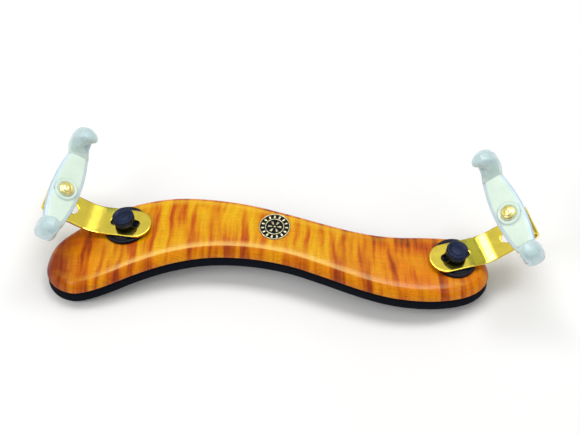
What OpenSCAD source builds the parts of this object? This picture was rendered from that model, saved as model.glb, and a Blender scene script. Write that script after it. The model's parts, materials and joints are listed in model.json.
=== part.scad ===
// Violin shoulder rest: an arched S-shaped maple plate on a foam pad, with two
// swivelling brass brackets that each carry a screwed fork with soft tips.
// Millimetres. X runs along the plate, broad end at -X (left); +Y is the far
// side; +Z points to the violin. The origin is midway between the two clamp
// screws, on the crown of the plate's top face.

/* [Plate] */
// Thickness of the maple plate
plate_t = 6; // [5.8:0.1:8]
// Radius of the plate's arched top face
arch_r = 560; // [480:10:900]
// Thickness of the foam pad
pad_t = 7.3; // [4:0.1:12]
// How far the pad's edge sits inside the plate's edge
pad_inset = 1.5; // [0.5:0.1:4]
// How much the pad's two ends are levelled, so that the rest stands upright
pad_level = 1.7; // [1.6:0.1:2.2]

/* [Medallion] */
// Diameter of the round medallion
medal_d = 15.4; // [10:0.1:20]
// Height of the medallion above the plate
medal_h = 0.5; // [0.3:0.1:1]
// Medallion centre along the plate
medal_x = -7.8; // [-14:0.1:0]
// Medallion centre across the plate
medal_y = 4.4; // [-2:0.1:6]

/* [Clamp] */
// Distance of each clamp screw from the middle
seat_x = 81.4; // [74:0.5:84]
// Diameter of the black bracket seat
seat_d = 22.2; // [20:0.1:24]
// Height of the bracket seat above the wood
seat_h = 2; // [1.5:0.1:3]
// Thread diameter of the clamp screw
clamp_d = 4; // [3:0.1:4]
// Diameter of the knurled thumb wheel
wheel_d = 10.9; // [9:0.1:13]
// Height of the knurled band of the thumb wheel
wheel_h = 4; // [3:0.1:6]
// Height of the collar under the thumb wheel
collar_h = 1.6; // [1:0.05:3]

/* [Bracket] */
// Width of the brass strip
strip_w = 16; // [14:0.1:18]
// Thickness of the brass strip
strip_t = 1.2; // [1:0.1:1.5]
// Pitch of the three clamp holes
hole_pitch = 5.4; // [5:0.1:6]
// Diameter of the clamp holes
hole_d = 4.2; // [4.2:0.1:4.4]
// Length of the flat part beyond the clamp screw
flat_len = 11; // [10:0.1:14]
// Inside radius of the upward bend
bend_r = 16; // [12:0.5:22]
// Angle of the rising leg to the flat part
rise_angle = 33; // [28:0.5:38]
// Length of the rising leg
leg_len = 19.2; // [18:0.1:22]
// Inside radius of the fold at the outer end
fold_r = 2.4; // [2.2:0.1:4]
// Length of the short upper leg
lip_len = 9.6; // [9:0.1:11]
// Distance of the fork screw from the fold
stud_inset = 3.4; // [3.4:0.1:5]
// Turn of the left bracket towards the far side
swing_left = 7.4; // [-20:0.1:30]
// Turn of the right bracket towards the far side
swing_right = 27; // [-20:0.1:30]

/* [Fork] */
// Thread diameter of the fork screw
stud_d = 5; // [4.5:0.1:5]
// Length of thread below the fork
stud_len = 18; // [16:0.5:20]
// Height of the left fork above its bracket
lift_left = 2.8; // [0.1:0.1:6]
// Height of the right fork above its bracket
lift_right = 10.6; // [0.1:0.1:11]
// Width of the fork bar at its middle
bar_w = 15.4; // [14:0.1:16]
// Width of the fork bar where the tips start
neck_w = 9.8; // [9:0.1:11]
// Thickness of the fork bar
bar_t = 4; // [3.6:0.1:5]
// Half the length of the bare bar
bar_half = 21.4; // [21:0.1:25]
// Offset of the bar's middle from the screw, towards the far side
bar_shift = 1.7; // [0:0.1:3]
// Diameter of the raised ring round the screw head
boss_d = 12.5; // [11:0.1:13.5]
// Diameter of the domed screw head
head_d = 7.6; // [7:0.1:8]
// Length of a soft tip along the bar
tip_len = 11.5; // [9:0.1:13]

/* [Outline] */
// Plate edge: [x, y] stations, clockwise from the broad end seen from above
PLATE_EDGE = [
    [-118.2, -21.8], [-116.2, -9.5], [-107.7, -0.3], [-95.2, 8.8],
    [-79.2, 16], [-61.2, 20.5], [-43.2, 21.1], [-23.2, 19.5],
    [-3.2, 15.9], [16.8, 11.9], [34.8, 9.4], [50.8, 9.7], [66.8, 12.6],
    [80.6, 14.2], [89.4, 11.5], [95.6, 6], [98.9, -1.4], [97.8, -8],
    [92.6, -14.6], [82.8, -20.2], [68.8, -24], [52.8, -25],
    [36.8, -22.8], [18.8, -18.3], [0.8, -14], [-19.2, -12.1],
    [-39.2, -13.3], [-57.2, -18], [-73.2, -25], [-87.2, -32.4],
    [-100.2, -36.8], [-109.6, -34.4], [-115.6, -28.9]
];
// Side view of a soft tip: [outward from the bar's middle line, up]
TIP_SIDE = [
    [-3.4, 3], [-3.6, 4.8], [-2.4, 6.2], [0, 6.5], [1.2, 7.6],
    [1, 9.5], [-0.8, 10.3], [-3.1, 10.2], [-5, 11], [-3.4, 13.1],
    [0.8, 14.2], [4.6, 12.6], [6.6, 9.4], [7.2, 5.4], [6.7, 1.8],
    [4.2, 0.3], [0, 0.4], [-2.6, 1.5]
];

/* [Hidden] */
NODES = [
    "maple_body", "foam_pad", "medallion",
    "left_seat", "left_insert", "left_bracket", "left_bush",
    "left_clamp_screw", "left_thumb_wheel", "left_fork_screw",
    "left_fork_bar", "left_far_tip", "left_near_tip",
    "right_seat", "right_insert", "right_bracket", "right_bush",
    "right_clamp_screw", "right_thumb_wheel", "right_fork_screw",
    "right_fork_bar", "right_far_tip", "right_near_tip"
];
node = "all";
$fn = 72;

LEFT = -1;
RIGHT = 1;
FAR = 1;
NEAR = -1;

gap = 0.05;          // play between parts that only touch
thread_play = 0.08;  // added to a thread's diameter for its hole
recess_play = 0.2;   // added to a part's diameter for its recess
over = 1;            // how far cutters and joined shapes run past a face

sunk = 0.3;          // depth of the seat in the wood
insert_d = 7;
insert_len = 5;
insert_z = -sunk - insert_len;
boss_h = 1;          // height of the raised ring above the bar
lip_z = 2 * fold_r - bend_r;  // underside of the upper leg, in the leg's frame

// ---- smooth closed curve through a ring of stations -------------------------
function wrapped(points, i) = points[(i + len(points)) % len(points)];
function spline(before, start, end, after, t) =
    0.5 * (2 * start + (end - before) * t
           + (2 * before - 5 * start + 4 * end - after) * t * t
           + (3 * start - before - 3 * end + after) * t * t * t);
function smooth(points, steps) = [
    for (i = [0 : len(points) - 1]) for (k = [0 : steps - 1])
        spline(wrapped(points, i - 1), points[i], wrapped(points, i + 1),
               wrapped(points, i + 2), k / steps)
];
// Moves a clockwise ring inward
function inset(points, dist) = [
    for (i = [0 : len(points) - 1])
        let (chord = wrapped(points, i + 1) - wrapped(points, i - 1),
             along = chord / norm(chord))
            points[i] + dist * [along[1], -along[0]]
];

// ---- places -----------------------------------------------------------------
// Height at x of a face that lies depth below the plate's top face
function arch_z(x, depth = 0) = sqrt(pow(arch_r - depth, 2) - x * x) - arch_r;

// On the plate's arched face, at x and y
module on_arch(x, y) {
    translate([x, y, arch_z(x)]) rotate([0, asin(x / arch_r), 0]) children();
}

// On a clamp screw's axis, at the wood's surface
module at_seat(side) {
    on_arch(side * seat_x, 0) children();
}

// In a bracket's frame: +X outward along the strip, origin on the seat's top.
// Its +Y points to the far side on the right, to the near side on the left.
module at_bracket(side) {
    at_seat(side)
        rotate([0, 0, side == RIGHT ? swing_right : 180 - swing_left])
            translate([0, 0, seat_h]) children();
}

// In the rising leg's frame: origin at the bend's centre
module at_leg(side) {
    at_bracket(side) translate([flat_len, 0, strip_t + bend_r])
        rotate([0, -rise_angle, 0]) children();
}

// On the fork screw's axis, at the underside of the upper leg
module at_stud(side) {
    at_leg(side) translate([leg_len - stud_inset, 0, lip_z]) children();
}

// In a fork's frame: origin under the bar, +Z up its screw
module at_fork(side) {
    at_stud(side)
        translate([0, 0, strip_t + (side == RIGHT ? lift_right : lift_left)])
            children();
}

// Round cutter that starts just below the origin
module bore(d, h) {
    translate([0, 0, -over]) cylinder(d = d, h = h);
}

// ---- plate, pad and medallion -----------------------------------------------
edge_steps = 4;      // curve steps between two stations of the plate's edge
pad_play = 0.1;      // play between plate and pad
medal_sunk = 0.4;    // depth of the medallion's recess
groove_depth = 0.15; // ring groove in the medallion's face
cut_h = 3;           // height of the recess cutters

// Arched slab between two depths below the plate's top face
module arch(outline, top, bottom) {
    intersection() {
        translate([0, 0, -60]) linear_extrude(80) polygon(outline);
        translate([0, 100, -arch_r]) rotate([90, 0, 0]) difference() {
            cylinder(r = arch_r - top, h = 200, $fn = 720);
            translate([0, 0, -over])
                cylinder(r = arch_r - bottom, h = 200 + 2 * over, $fn = 720);
        }
    }
}

module maple_body() {
    color("#e0912a") difference() {
        arch(smooth(PLATE_EDGE, edge_steps), 0, plate_t);
        on_arch(medal_x, medal_y) translate([0, 0, -medal_sunk])
            cylinder(d = medal_d + recess_play, h = cut_h);
        for (side = [LEFT, RIGHT]) at_seat(side) {
            translate([0, 0, -sunk]) cylinder(d = seat_d + recess_play, h = cut_h);
            translate([0, 0, insert_z - gap])
                cylinder(d = insert_d, h = insert_len + 2);
        }
    }
}

module foam_pad() {
    edge_x = [for (station = PLATE_EDGE) station[0]];
    left_x = min(edge_x) + pad_inset;
    right_x = max(edge_x) - pad_inset;
    pad_len = right_x - left_x;
    left_z = arch_z(left_x, plate_t + pad_t);
    right_z = arch_z(right_x, plate_t + pad_t);
    color("#161616") difference() {
        arch(inset(smooth(PLATE_EDGE, edge_steps), pad_inset),
             plate_t + pad_play, plate_t + pad_t);
        // the two ends stand level on one plane
        translate([left_x, 0, left_z + pad_level])
            rotate([0, -atan((right_z - left_z) / pad_len), 0])
                translate([-50, -100, -30]) cube([pad_len + 100, 200, 30]);
    }
}

module medallion() {
    thick = medal_sunk - gap + medal_h;
    color("#6d6a5c") on_arch(medal_x, medal_y) translate([0, 0, -medal_sunk + gap])
        difference() {
            cylinder(d = medal_d, h = thick);
            translate([0, 0, thick - groove_depth]) difference() {
                cylinder(d = medal_d - 1.6, h = 1);
                bore(medal_d - 5.6, 3);
            }
        }
}

// ---- clamp ------------------------------------------------------------------
screw_low = 0.4;     // screw's lower end above the insert's lower end
screw_top = 1;       // screw's upper end below the wheel's top
knurl_teeth = 28;
knurl_depth = 0.35;
dish_depth = 0.5;    // round recess in the wheel's top

module seat(side) {
    color("#12161f") at_seat(side) translate([0, 0, -sunk + gap]) difference() {
        cylinder(d = seat_d, h = seat_h + sunk - 2 * gap);
        bore(clamp_d + 0.5, seat_h + 4);
    }
}

module insert(side) {
    color("#b99a4a") at_seat(side) translate([0, 0, insert_z]) difference() {
        cylinder(d = insert_d - 2 * gap, h = insert_len);
        bore(clamp_d + thread_play, insert_len + 2 * over);
    }
}

module clamp_screw(side) {
    bottom = insert_z + screw_low;
    top = seat_h + strip_t + collar_h + wheel_h - screw_top;
    color("#b9bcc0") at_seat(side) translate([0, 0, bottom])
        cylinder(d = clamp_d, h = top - bottom);
}

// Knurled outline of the thumb wheel: each tooth has two outer, two inner points
module knurl() {
    polygon([for (i = [0 : knurl_teeth - 1]) for (k = [0 : 3])
        let (angle = (i + k / 4) * 360 / knurl_teeth,
             radius = wheel_d / 2 - (k > 1 ? knurl_depth : 0))
            radius * [cos(angle), sin(angle)]]);
}

module thumb_wheel(side) {
    top = collar_h + wheel_h;
    color("#151a26") at_seat(side) translate([0, 0, seat_h + strip_t + gap])
        difference() {
            union() {
                cylinder(d = wheel_d - 3.6, h = collar_h + over);
                translate([0, 0, collar_h]) linear_extrude(wheel_h) knurl();
            }
            bore(clamp_d + thread_play, top);
            translate([0, 0, top - dish_depth]) cylinder(d = wheel_d - 4, h = 1);
        }
}

// ---- bracket ----------------------------------------------------------------
strip_start = -20;            // start of the untrimmed strip
slot_in = leg_len - 11.8;     // centres of the slot's round ends on the leg
slot_out = leg_len - 3.4;
slot_w = stud_d + 0.6;
bush_neck_d = stud_d + 1.3;
bush_h = 3.6;                 // bush below the upper leg

function arc(centre, radius, from, to, steps) = [
    for (i = [0 : steps])
        let (angle = from + (to - from) * i / steps)
            centre + radius * [cos(angle), sin(angle)]
];
function turn(v, angle) =
    [v[0] * cos(angle) - v[1] * sin(angle), v[0] * sin(angle) + v[1] * cos(angle)];

// Side view of the folded strip: X outward, Y up
module strip_side() {
    bend = [flat_len, strip_t + bend_r];
    fold = bend + turn([leg_len, fold_r - bend_r], rise_angle);
    low = rise_angle - 90;
    high = rise_angle + 90;
    polygon(concat(
        [[strip_start, 0]],
        arc(bend, bend_r + strip_t, -90, low, 11),
        arc(fold, fold_r + strip_t, low, high, 24),
        [for (y = [fold_r + strip_t, fold_r]) fold + turn([-lip_len, y], rise_angle)],
        arc(fold, fold_r, high, low, 24),
        arc(bend, bend_r, low, -90, 11),
        [[strip_start, strip_t]]));
}

module bracket(side) {
    color("#d9b33a") difference() {
        at_bracket(side) intersection() {
            translate([0, strip_w / 2, 0]) rotate([90, 0, 0])
                linear_extrude(strip_w) strip_side();
            // round inner end
            union() {
                translate([-hole_pitch, 0, -over]) cylinder(d = strip_w, h = 4);
                translate([-hole_pitch, -strip_w / 2 - over, -2])
                    cube([60, strip_w + 2 * over, 60]);
            }
        }
        at_bracket(side) for (i = [-1 : 1])
            translate([i * hole_pitch, 0, 0]) bore(hole_d, 4);
        // hole for the threaded bush in the upper leg
        at_stud(side) translate([0, 0, -0.5])
            cylinder(d = bush_neck_d + 2 * gap, h = strip_t + 1);
        // slot in the rising leg
        at_leg(side) translate([0, 0, -bend_r - strip_t - over]) {
            for (x = [slot_in, slot_out])
                translate([x, 0, 0]) cylinder(d = slot_w, h = strip_t + 2 * over);
            translate([slot_in, -slot_w / 2, 0])
                cube([slot_out - slot_in, slot_w, strip_t + 2 * over]);
        }
    }
}

module bush(side) {
    color("#c8a545") at_stud(side) difference() {
        union() {
            translate([0, 0, -bush_h]) cylinder(d = stud_d + 2.6, h = bush_h - gap);
            translate([0, 0, -over]) cylinder(d = bush_neck_d, h = strip_t + over);
        }
        translate([0, 0, -5]) cylinder(d = stud_d + thread_play, h = 8);
    }
}

// ---- fork -------------------------------------------------------------------
head_h = 1.8;
dome_r = 6;
socket_d = 1.8;      // round recess in the screw head
socket_depth = 0.5;

// The bar's two long edges are arcs of this radius
bulge = (bar_w - neck_w) / 2;
lens_r = (pow(bar_half, 2) + pow(bulge, 2)) / (2 * bulge);
lens_x = lens_r - bar_w / 2;

// Prong at each end of the bar, with an upright post on its outer edge
prong_in = -1;       // x of the prong's two sides
prong_out = 5.8;
prong_len = 7;
prong_z = 1.3;
prong_h = 2.5;
post_y = 5;          // post's centre beyond the bar
post_d = 3.4;
post_h = 8.8;

tip_steps = 3;       // curve steps between two stations of a tip
ledge_z = 6.3;

module fork_screw(side) {
    boss_top = bar_t + boss_h;
    color("#d4b04c") at_fork(side) {
        translate([0, 0, -stud_len])
            cylinder(d = stud_d, h = stud_len + boss_top + 0.5);
        translate([0, 0, boss_top + gap]) difference() {
            intersection() {
                cylinder(d = head_d, h = head_h);
                translate([0, 0, head_h - dome_r]) sphere(r = dome_r);
            }
            translate([0, 0, head_h - socket_depth]) cylinder(d = socket_d, h = 1);
        }
    }
}

// Prong that a soft tip is pushed onto, with extra size all round
module prong(extra) {
    translate([prong_in - extra, bar_half - over, prong_z - extra])
        cube([prong_out - prong_in + 2 * extra, prong_len + over + extra,
              prong_h + 2 * extra]);
    translate([prong_out - post_d / 2, bar_half + post_y, prong_z - extra])
        cylinder(d = post_d + 2 * extra, h = post_h + 2 * extra);
}

module fork_bar(side) {
    color("#e2f1e6") at_fork(side) difference() {
        union() {
            translate([0, side * bar_shift, 0]) {
                intersection() {
                    translate([lens_x, 0, 0]) cylinder(r = lens_r, h = bar_t, $fn = 720);
                    translate([-lens_x, 0, 0]) cylinder(r = lens_r, h = bar_t, $fn = 720);
                    translate([-20, -bar_half, 0]) cube([40, 2 * bar_half, bar_t]);
                }
                prong(0);
                mirror([0, 1, 0]) prong(0);
            }
            cylinder(d = boss_d, h = bar_t + boss_h);
        }
        bore(stud_d + thread_play, bar_t + boss_h + 2 * over);
    }
}

// Soft tip on the FAR or NEAR end of the bar
module tip(side, end) {
    color("#c9dde6") at_fork(side) translate([0, side * bar_shift, 0])
        mirror([0, side == end ? 0 : 1, 0]) difference() {
            translate([0, bar_half + gap + tip_len, 0]) rotate([90, 0, 0])
                linear_extrude(tip_len) polygon(smooth(TIP_SIDE, tip_steps));
            prong(gap);
            // flat ledge under the edge of the instrument
            translate([-5, bar_half - over, ledge_z]) cube([5.6, tip_len + 3, 1.5]);
        }
}

// ---- nodes ------------------------------------------------------------------
module left_seat() { seat(LEFT); }
module left_insert() { insert(LEFT); }
module left_bracket() { bracket(LEFT); }
module left_bush() { bush(LEFT); }
module left_clamp_screw() { clamp_screw(LEFT); }
module left_thumb_wheel() { thumb_wheel(LEFT); }
module left_fork_screw() { fork_screw(LEFT); }
module left_fork_bar() { fork_bar(LEFT); }
module left_far_tip() { tip(LEFT, FAR); }
module left_near_tip() { tip(LEFT, NEAR); }
module right_seat() { seat(RIGHT); }
module right_insert() { insert(RIGHT); }
module right_bracket() { bracket(RIGHT); }
module right_bush() { bush(RIGHT); }
module right_clamp_screw() { clamp_screw(RIGHT); }
module right_thumb_wheel() { thumb_wheel(RIGHT); }
module right_fork_screw() { fork_screw(RIGHT); }
module right_fork_bar() { fork_bar(RIGHT); }
module right_far_tip() { tip(RIGHT, FAR); }
module right_near_tip() { tip(RIGHT, NEAR); }

// In a fork's frame the far end lies at +Y on the right and -Y on the left
function is_on(name) = node == "all" || node == name;

if (is_on("maple_body")) maple_body();
if (is_on("foam_pad")) foam_pad();
if (is_on("medallion")) medallion();
if (is_on("left_seat")) left_seat();
if (is_on("left_insert")) left_insert();
if (is_on("left_bracket")) left_bracket();
if (is_on("left_bush")) left_bush();
if (is_on("left_clamp_screw")) left_clamp_screw();
if (is_on("left_thumb_wheel")) left_thumb_wheel();
if (is_on("left_fork_screw")) left_fork_screw();
if (is_on("left_fork_bar")) left_fork_bar();
if (is_on("left_far_tip")) left_far_tip();
if (is_on("left_near_tip")) left_near_tip();
if (is_on("right_seat")) right_seat();
if (is_on("right_insert")) right_insert();
if (is_on("right_bracket")) right_bracket();
if (is_on("right_bush")) right_bush();
if (is_on("right_clamp_screw")) right_clamp_screw();
if (is_on("right_thumb_wheel")) right_thumb_wheel();
if (is_on("right_fork_screw")) right_fork_screw();
if (is_on("right_fork_bar")) right_fork_bar();
if (is_on("right_far_tip")) right_far_tip();
if (is_on("right_near_tip")) right_near_tip();
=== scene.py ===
"""A shoulder rest: an arched maple plate with a foam pad under it. At each end a bent brass
bracket is clamped by a knurled wheel and carries a fork with two soft hooks.

The plate runs along x and arches up in z; the left end is at -x. The world is in metres.
Shapes are worked out in millimetres and turned into metres by MM.
"""
import json
import math

import bpy
import numpy as np
from mathutils import Matrix, Vector
from mathutils.geometry import delaunay_2d_cdt


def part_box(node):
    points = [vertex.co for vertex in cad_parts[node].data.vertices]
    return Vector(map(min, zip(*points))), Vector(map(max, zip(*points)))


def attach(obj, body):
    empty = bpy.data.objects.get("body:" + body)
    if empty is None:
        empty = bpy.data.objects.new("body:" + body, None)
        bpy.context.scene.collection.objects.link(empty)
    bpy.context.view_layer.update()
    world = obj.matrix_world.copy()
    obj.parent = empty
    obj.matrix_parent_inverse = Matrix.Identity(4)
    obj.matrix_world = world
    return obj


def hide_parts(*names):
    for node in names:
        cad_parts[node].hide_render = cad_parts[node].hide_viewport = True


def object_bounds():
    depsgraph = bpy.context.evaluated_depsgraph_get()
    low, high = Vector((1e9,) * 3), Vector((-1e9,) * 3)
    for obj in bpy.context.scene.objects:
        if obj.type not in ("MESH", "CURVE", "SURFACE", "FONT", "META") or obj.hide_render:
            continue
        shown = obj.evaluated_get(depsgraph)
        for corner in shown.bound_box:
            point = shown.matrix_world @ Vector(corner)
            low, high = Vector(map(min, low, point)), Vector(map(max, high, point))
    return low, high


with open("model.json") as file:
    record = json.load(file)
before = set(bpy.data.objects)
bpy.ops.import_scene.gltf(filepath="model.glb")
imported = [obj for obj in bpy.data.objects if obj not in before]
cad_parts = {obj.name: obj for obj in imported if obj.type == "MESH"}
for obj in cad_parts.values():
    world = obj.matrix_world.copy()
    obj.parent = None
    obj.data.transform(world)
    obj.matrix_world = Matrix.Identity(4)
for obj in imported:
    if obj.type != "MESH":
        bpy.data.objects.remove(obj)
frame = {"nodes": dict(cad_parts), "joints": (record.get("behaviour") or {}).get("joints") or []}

CAD_BOX = [list(corner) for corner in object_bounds()]
NODE = frame["nodes"]
JOINT = {joint["name"]: joint for joint in frame["joints"]}
MM = 0.001
SIDES = (("left", -1), ("right", 1))
scene = bpy.context.scene

# ---------------------------------------------------------------- driving sizes, mm
ARCH_R, PLATE_T = 560.0, 6.0        # radius of the plate's top face, and its thickness
PAD_GAP = 0.1                       # between plate and pad
PAD_T = 7.3 - PAD_GAP
SEAT_H, STRIP_T = 2.0, 1.2          # bracket's underside above the clamp joint; its thickness
HEAD_GAP = 0.05                     # clear space under the wheels and the screw heads
BAR_T, BAR_L = 4.0, 21.4            # fork bar: thickness and half length
BAR_SHIFT = 1.7                     # the bar's middle lies this far along y from its screw


# ---------------------------------------------------------------- meshes
def mesh_object(name, verts, faces, sharp=40.0, attrs=None):
    """A smooth-shaded object; edges steeper than sharp degrees stay sharp."""
    mesh = bpy.data.meshes.new(name)
    mesh.from_pydata([tuple(vert) for vert in verts], [], faces)
    mesh.validate()
    for key, values in (attrs or {}).items():
        add_attribute(mesh, key, values)
    mesh.polygons.foreach_set("use_smooth", [True] * len(mesh.polygons))
    mesh.set_sharp_from_angle(angle=math.radians(sharp))
    mesh.update()
    obj = bpy.data.objects.new(name, mesh)
    scene.collection.objects.link(obj)
    return obj


def add_attribute(mesh, key, values):
    attribute = mesh.attributes.new(key, "FLOAT", "POINT")
    attribute.data.foreach_set("value", np.asarray(values, np.float32))


def axes(origin, normal, toward):
    """A frame with z along normal and x towards the other direction."""
    z = Vector(normal).normalized()
    x = Vector(toward)
    x = (x - x.dot(z) * z).normalized()
    y = z.cross(x)
    rows = [(x[i], y[i], z[i], origin[i]) for i in range(3)]
    return Matrix((*rows, (0, 0, 0, 1)))


def through(matrix, points):
    """Points in a local frame, mm, to the world, metres."""
    matrix = np.array(matrix)
    return np.asarray(points, float) * MM @ matrix[:3, :3].T + matrix[:3, 3]


def band(low, high):
    """Faces between two rings of vertex numbers; a ring of one vertex gives a fan."""
    count = max(len(low), len(high))
    faces = []
    for i in range(count):
        j = (i + 1) % count
        quad = (low[i % len(low)], low[j % len(low)], high[j % len(high)], high[i % len(high)])
        faces.append(tuple(dict.fromkeys(quad)))
    return faces


def skin(rows):
    return [face for low, high in zip(rows, rows[1:]) for face in band(low, high)]


# ---------------------------------------------------------------- flat outlines
def resample(loop, count):
    closed = np.vstack([loop, loop[:1]])
    run = np.r_[0, np.cumsum(np.linalg.norm(np.diff(closed, axis=0), axis=1))]
    stops = np.linspace(0, run[-1], count, endpoint=False)
    return np.c_[np.interp(stops, run, closed[:, 0]), np.interp(stops, run, closed[:, 1])]


def turned(loop, ccw=True):
    """The loop in the asked sense of turning."""
    x, y = loop[:, 0], loop[:, 1]
    area = 0.5 * float(np.sum(x * np.roll(y, -1) - np.roll(x, -1) * y))
    return loop if (area > 0) == ccw else loop[::-1]


def relax(loop, times):
    for _ in range(times):
        loop = (np.roll(loop, 1, 0) + 2 * loop + np.roll(loop, -1, 0)) / 4
    return loop


def inward(loop, distance):
    tangent = np.roll(loop, -1, 0) - np.roll(loop, 1, 0)
    tangent /= np.linalg.norm(tangent, axis=1)[:, None]
    return loop + distance * np.c_[-tangent[:, 1], tangent[:, 0]]


def inside(points, loop):
    start, end = loop, np.roll(loop, -1, 0)
    y = points[:, 1][:, None]
    cross = (start[:, 1] > y) != (end[:, 1] > y)
    rise = end[:, 1] - start[:, 1]
    rise = np.where(np.abs(rise) < 1e-12, 1e-12, rise)
    x = (end[:, 0] - start[:, 0]) * (y - start[:, 1]) / rise + start[:, 0]
    return (cross & (points[:, 0][:, None] < x)).sum(1) % 2 == 1


def within(points, loops):
    """True inside the first loop and outside the others."""
    mask = inside(points, loops[0])
    for hole in loops[1:]:
        mask &= ~inside(points, hole)
    return mask


def nearest(points, others):
    """Distance from each point to the closest of the others, in chunks to save memory."""
    out, chunk = np.empty(len(points)), 500
    for i in range(0, len(points), chunk):
        gaps = ((points[i:i + chunk, None] - others[None]) ** 2).sum(2)
        out[i:i + chunk] = np.sqrt(gaps).min(1)
    return out


def circle(x, y, radius, count):
    angle = np.linspace(0, 2 * math.pi, count, endpoint=False)
    return np.c_[x + radius * np.cos(angle), y + radius * np.sin(angle)]


def stadium(x_start, x_end, radius, count):
    """A slot along x, between the centres of its two round ends."""
    angle = np.linspace(-math.pi / 2, math.pi / 2, count)
    x, y = radius * np.cos(angle), radius * np.sin(angle)
    return np.vstack([np.c_[x_end + x, y], np.c_[x_start - x, -y]])


def catmull(points, count):
    """A closed Catmull-Rom curve, with count steps from each point to the next."""
    out = []
    for i, here in enumerate(points):
        before, after = points[i - 1], points[(i + 1) % len(points)]
        beyond = points[(i + 2) % len(points)]
        for k in range(count):
            t = k / count
            out.append(0.5 * (2 * here + (after - before) * t
                              + (2 * before - 5 * here + 4 * after - beyond) * t * t
                              + (3 * here - before - 3 * after + beyond) * t ** 3))
    return np.array(out)


def outline(node):
    """The longest rim between a node's top face and its side, as a closed loop in mm."""
    mesh = NODE[node].data
    number, ids, points = {}, [], []
    for vert in mesh.vertices:
        key = tuple(round(c * 1e5) for c in vert.co)
        if key not in number:
            number[key] = len(points)
            points.append(vert.co[:])
        ids.append(number[key])
    kinds = {}
    for face in mesh.polygons:
        lean = face.normal.z
        kind = "top" if lean > 0.5 else "side" if abs(lean) < 0.15 else "other"
        corners = [ids[i] for i in face.vertices]
        for start, end in zip(corners, corners[1:] + corners[:1]):
            if start != end:
                kinds.setdefault(frozenset((start, end)), []).append(kind)
    links = {}
    for edge, found in kinds.items():
        if "top" in found and "side" in found:
            start, end = tuple(edge)
            links.setdefault(start, []).append(end)
            links.setdefault(end, []).append(start)
    best, seen = [], set()
    for start in links:
        if start in seen:
            continue
        chain, last, here = [start], None, start
        while True:
            seen.add(here)
            ahead = [q for q in links[here] if q != last and q not in seen]
            if not ahead:
                break
            last, here = here, ahead[0]
            chain.append(here)
        if len(chain) > len(best):
            best = chain
    return turned(np.array([points[i][:2] for i in best]) / MM)


# ---------------------------------------------------------------- solids
def fill(loops, marks, step_x, step_y):
    """Triangles inside loops[0] and outside the other loops, with marks as inner lines.
    The points come back in the order loops, marks, staggered grid."""
    ring = np.vstack([*loops, *marks])
    low, high = loops[0].min(0), loops[0].max(0)
    columns = np.arange(low[0] + step_x / 2, high[0], step_x)
    levels = np.arange(low[1] + step_y / 2, high[1], step_y)
    grid = np.array([(x, y + (step_y / 2 if k % 2 else 0))
                     for k, x in enumerate(columns) for y in levels])
    grid = grid[within(grid, loops)]
    grid = grid[nearest(grid, ring) > 0.6 * min(step_x, step_y)]
    points = np.vstack([ring, grid])
    edges, base = [], 0
    for loop in (*loops, *marks):
        count = len(loop)
        edges += [(base + i, base + (i + 1) % count) for i in range(count)]
        base += count
    out = delaunay_2d_cdt([Vector(point) for point in points], edges, [], 0, 1e-7, True)
    source = [origin[0] if len(origin) else -1 for origin in out[3]]
    tris = [[source[i] for i in face] for face in out[2]]
    tris = np.array([t for t in tris if len(t) == 3 and -1 not in t and len(set(t)) == 3])
    tris = tris[within(points[tris].mean(1), loops)]
    first, second, third = (points[tris[:, i]] for i in range(3))
    to_second, to_third = second - first, third - first
    flip = to_second[:, 0] * to_third[:, 1] - to_second[:, 1] * to_third[:, 0] < 0
    tris[flip] = tris[flip][:, ::-1]
    return points, tris


def slab(name, loops, profile, place, grid, marks=(), height=None, sharp=40.0):
    """A closed plate: loops[0] is its outline, the others its holes.
    profile holds (inset, z) from the underside, round the edge, to the top face.
    place maps arrays x, y, z in mm to metres; height(x, y) adds to z on the top face."""
    verts, faces, rim, base = [], [], [], 0
    rings = ([], [])                # vertex numbers round the underside and the top
    for loop in loops:
        count = len(loop)
        for inset, z in profile:
            verts.append(np.c_[inward(loop, inset), np.full(count, z)])
            rim.append(np.full(count, inset if loop is loops[0] else 99.0))
        rows = [range(base + i * count, base + (i + 1) * count) for i in range(len(profile))]
        faces += skin(rows)
        rings[0].extend(rows[0])
        rings[1].extend(rows[-1])
        base += len(profile) * count
    for top, (inset, z) in enumerate((profile[0], profile[-1])):
        points, tris = fill([inward(loop, inset) for loop in loops], marks if top else (), *grid)
        extra = points[len(rings[top]):]
        index = np.array([*rings[top], *range(base, base + len(extra))])
        levels = np.full(len(extra), z, float)
        if top and height is not None:
            levels = levels + height(extra[:, 0], extra[:, 1])
        verts.append(np.c_[extra, levels])
        rim.append(nearest(extra, loops[0]))
        base += len(extra)
        faces += [tuple(tri if top else tri[::-1]) for tri in index[tris].tolist()]
    verts = place(*np.vstack(verts).T)
    return mesh_object(name, verts, faces, sharp, {"rim": np.concatenate(rim)})


def lathe(name, profile, matrix, count, wave=None, sharp=50.0):
    """A turned piece from (radius, z) points: solid if they start on the axis, else a ring.
    wave(angle, radius, z) scales the radius round the axis."""
    angle = np.linspace(0, 2 * math.pi, count, endpoint=False)
    verts, rows, base = [], [], 0
    for radius, z in profile:
        if radius < 1e-9:
            row = np.array([(0.0, 0.0, z)])
        else:
            reach = radius * (wave(angle, radius, z) if wave else 1.0)
            row = np.c_[reach * np.cos(angle), reach * np.sin(angle), np.full(count, z)]
        verts.append(row)
        rows.append(range(base, base + len(row)))
        base += len(row)
    if profile[0][0] > 1e-9:
        rows.append(rows[0])
    return mesh_object(name, through(matrix, np.vstack(verts)), skin(rows), sharp)


# ---------------------------------------------------------------- shader nodes
def srgb(*levels):
    """Linear colour from sRGB levels of 0 to 255."""
    return (*(c / 255 / 12.92 if c <= 10.31 else ((c / 255 + 0.055) / 1.055) ** 2.4
              for c in levels), 1.0)


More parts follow.
